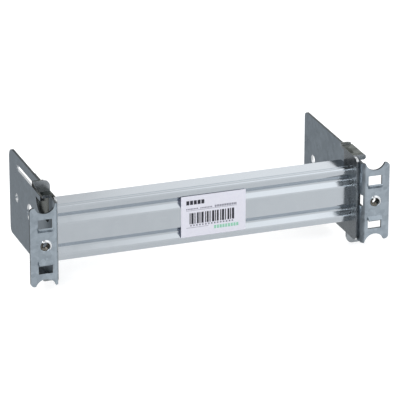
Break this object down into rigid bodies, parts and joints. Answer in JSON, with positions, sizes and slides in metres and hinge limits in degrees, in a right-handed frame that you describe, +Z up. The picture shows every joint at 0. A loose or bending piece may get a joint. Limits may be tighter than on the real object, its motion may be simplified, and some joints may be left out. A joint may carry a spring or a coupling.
{
  "type": "din rail assembly",
  "caption": "Short galvanised mounting rail with two rolled grooves, carried between hooked end plates and deep side brackets with notched, slotted front flanges.",
  "frame": {"origin": "centre of the overall box in plan, on the floor plane under the lowest lobe", "axes": "+X along the rail to the right as seen from the front, +Y from the front flanges to the back of the brackets, +Z up"},
  "size_m": [0.2262, 0.0966, 0.0666],
  "materials": {
    "rail_steel": "bright zinc plated, rolled along its length",
    "end_steel": "zinc plated, satin",
    "bracket_steel": "galvanised sheet, satin with fine grain",
    "label_paper": "coated paper"
  },
  "bodies": {
    "root": {"rail": "rail_steel", "left_end_plate": "end_steel", "right_end_plate": "end_steel", "left_bracket": "bracket_steel", "right_bracket": "bracket_steel", "label": "label_paper"}
  },
  "joints": []
}
